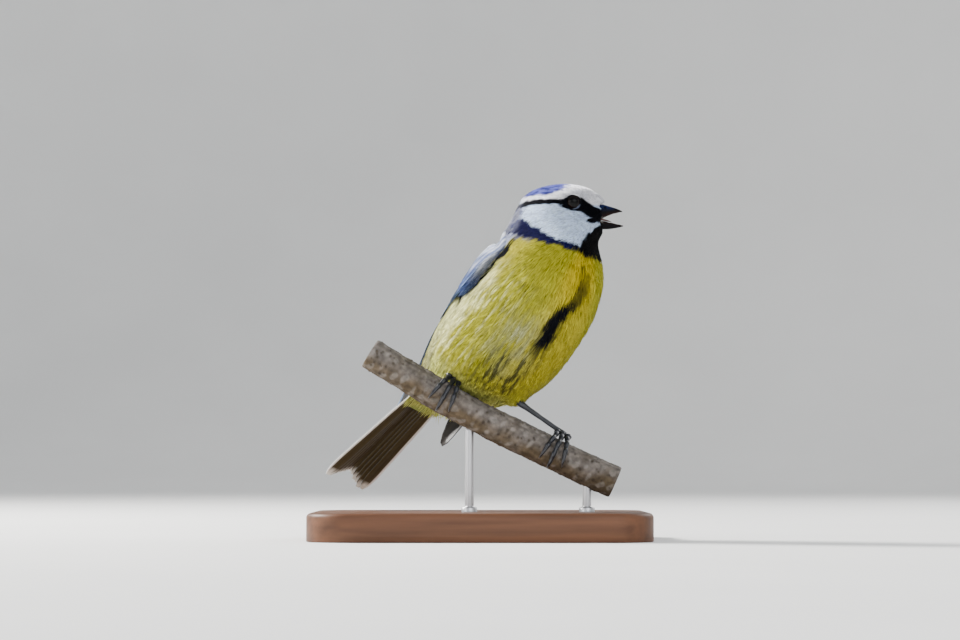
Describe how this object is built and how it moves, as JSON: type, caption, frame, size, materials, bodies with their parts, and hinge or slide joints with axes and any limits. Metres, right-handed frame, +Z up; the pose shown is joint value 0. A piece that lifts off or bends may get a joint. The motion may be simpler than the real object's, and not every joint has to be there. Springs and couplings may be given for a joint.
{
  "type": "songbird model on a perch stand",
  "caption": "Life-size still model of a blue tit with an open bill, gripping a short length of branch on two rods above a flat base.",
  "frame": {"origin": "centre of the stand base's underside, which is also the bottom centre of the whole part", "axes": "+Z up; +X to the right of the view the bird is posed for, along the base's long side; +Y away from that view"},
  "size_m": [0.096, 0.072, 0.0995],
  "materials": {
    "plumage": "soft barbed feathers, yellow below, white and blue on the head",
    "flight_feather": "smooth vaned feathers, blue with pale edges",
    "eye": "wet, dark brown to black",
    "bill": "satin horn",
    "mouth": "moist",
    "leg": "scaled skin",
    "claw": "satin horn",
    "bark": "rough bark with small pores",
    "base_wood": "satin",
    "rod_steel": "brushed"
  },
  "bodies": {
    "root": {"bill_lower": "bill", "bill_upper": "bill", "claw_hind_left": "claw", "claw_hind_right": "claw", "claw_inner_left": "claw", "claw_inner_right": "claw", "claw_middle_left": "claw", "claw_middle_right": "claw", "claw_outer_left": "claw", "claw_outer_right": "claw", "eye_left": "eye", "eye_right": "eye", "head": "plumage", "neck": "plumage", "rump": "plumage", "shank_left": "leg", "shank_right": "leg", "stand_base": "base_wood", "stand_perch": "bark", "stand_rod_1": "rod_steel", "stand_rod_2": "rod_steel", "tail": "flight_feather", "toe_hind_left": "leg", "toe_hind_right": "leg", "toe_inner_left": "leg", "toe_inner_right": "leg", "toe_middle_left": "leg", "toe_middle_right": "leg", "toe_outer_left": "leg", "toe_outer_right": "leg", "tongue": "mouth", "torso": "plumage", "wing_left": "flight_feather", "wing_right": "flight_feather"}
  },
  "joints": []
}
